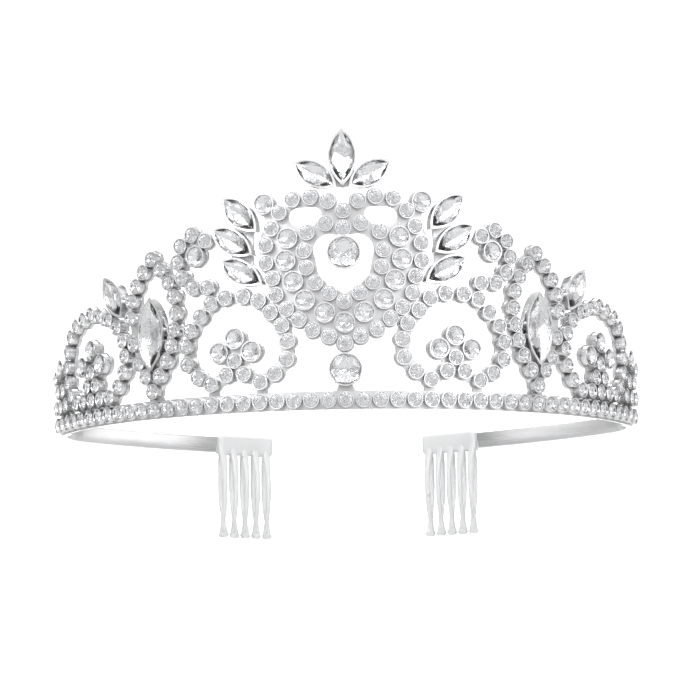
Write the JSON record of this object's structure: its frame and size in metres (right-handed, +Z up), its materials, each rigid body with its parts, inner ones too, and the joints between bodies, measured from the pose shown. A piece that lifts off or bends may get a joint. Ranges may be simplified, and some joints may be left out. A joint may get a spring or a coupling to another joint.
{
  "type": "bridal tiara",
  "caption": "Bridal tiara: jewelled openwork front panel of round and leaf-shaped stones on a metal band with two clear side combs.",
  "frame": {"origin": "centre of the front panel's curve, level with the band's underside", "axes": "+Z up, the front panel faces -Y, +X to the right as seen from the front, the arms run back towards +Y"},
  "size_m": [0.1362, 0.1142, 0.0834],
  "materials": {
    "plated_casting": "bright silver-coloured plating on a cast alloy, slightly grainy between the cups",
    "band_metal": "polished silver-coloured flat strip with fine rolling lines",
    "crystal": "clear faceted stones with silver foil backs",
    "clear_plastic": "clear moulded plastic, slightly frosted"
  },
  "bodies": {
    "panel": {"base_rail": "plated_casting", "rail_stones": "crystal", "centre_plaque": "plated_casting", "plaque_stones": "crystal", "plaque_large_stones": "crystal", "pendant_setting": "plated_casting", "pendant_stone": "crystal", "drop_setting": "plated_casting", "drop_stone": "crystal", "top_fan": "plated_casting", "top_fan_stones": "crystal", "side_fan_left": "plated_casting", "side_fan_right": "plated_casting", "side_fan_stones_left": "crystal", "side_fan_stones_right": "crystal", "heart_loop_left": "plated_casting", "heart_loop_right": "plated_casting", "heart_loop_stones_left": "crystal", "heart_loop_stones_right": "crystal", "scroll_left": "plated_casting", "scroll_right": "plated_casting", "scroll_stones_left": "crystal", "scroll_stones_right": "crystal", "pointed_arch_left": "plated_casting", "pointed_arch_right": "plated_casting", "pointed_arch_stones_left": "crystal", "pointed_arch_stones_right": "crystal", "arch_marquise_setting_left": "plated_casting", "arch_marquise_setting_right": "plated_casting", "arch_marquise_stone_left": "crystal", "arch_marquise_stone_right": "crystal", "outer_loop_left": "plated_casting", "outer_loop_right": "plated_casting", "outer_loop_stones_left": "crystal", "outer_loop_stones_right": "crystal", "outer_marquise_setting_left": "plated_casting", "outer_marquise_setting_right": "plated_casting", "outer_marquise_stone_left": "crystal", "outer_marquise_stone_right": "crystal", "end_cluster_left": "plated_casting", "end_cluster_right": "plated_casting", "end_cluster_stones_left": "crystal", "end_cluster_stones_right": "crystal"},
    "arm_left": {"arm_left": "band_metal", "comb_left": "clear_plastic"},
    "arm_right": {"arm_right": "band_metal", "comb_right": "clear_plastic"}
  },
  "joints": [
    {"name": "arm_left_spread", "type": "hinge", "parent": "panel", "child": "arm_left", "pos_m": [-0.06557, -0.01757, 0.002], "axis": [0, 0, 1], "range_deg": [0, 8], "stiffness_Nm_per_rad": 0.8},
    {"name": "arm_right_spread", "type": "hinge", "parent": "panel", "child": "arm_right", "pos_m": [0.06557, -0.01757, 0.002], "axis": [0, 0, -1], "range_deg": [0, 8], "stiffness_Nm_per_rad": 0.8}
  ]
}
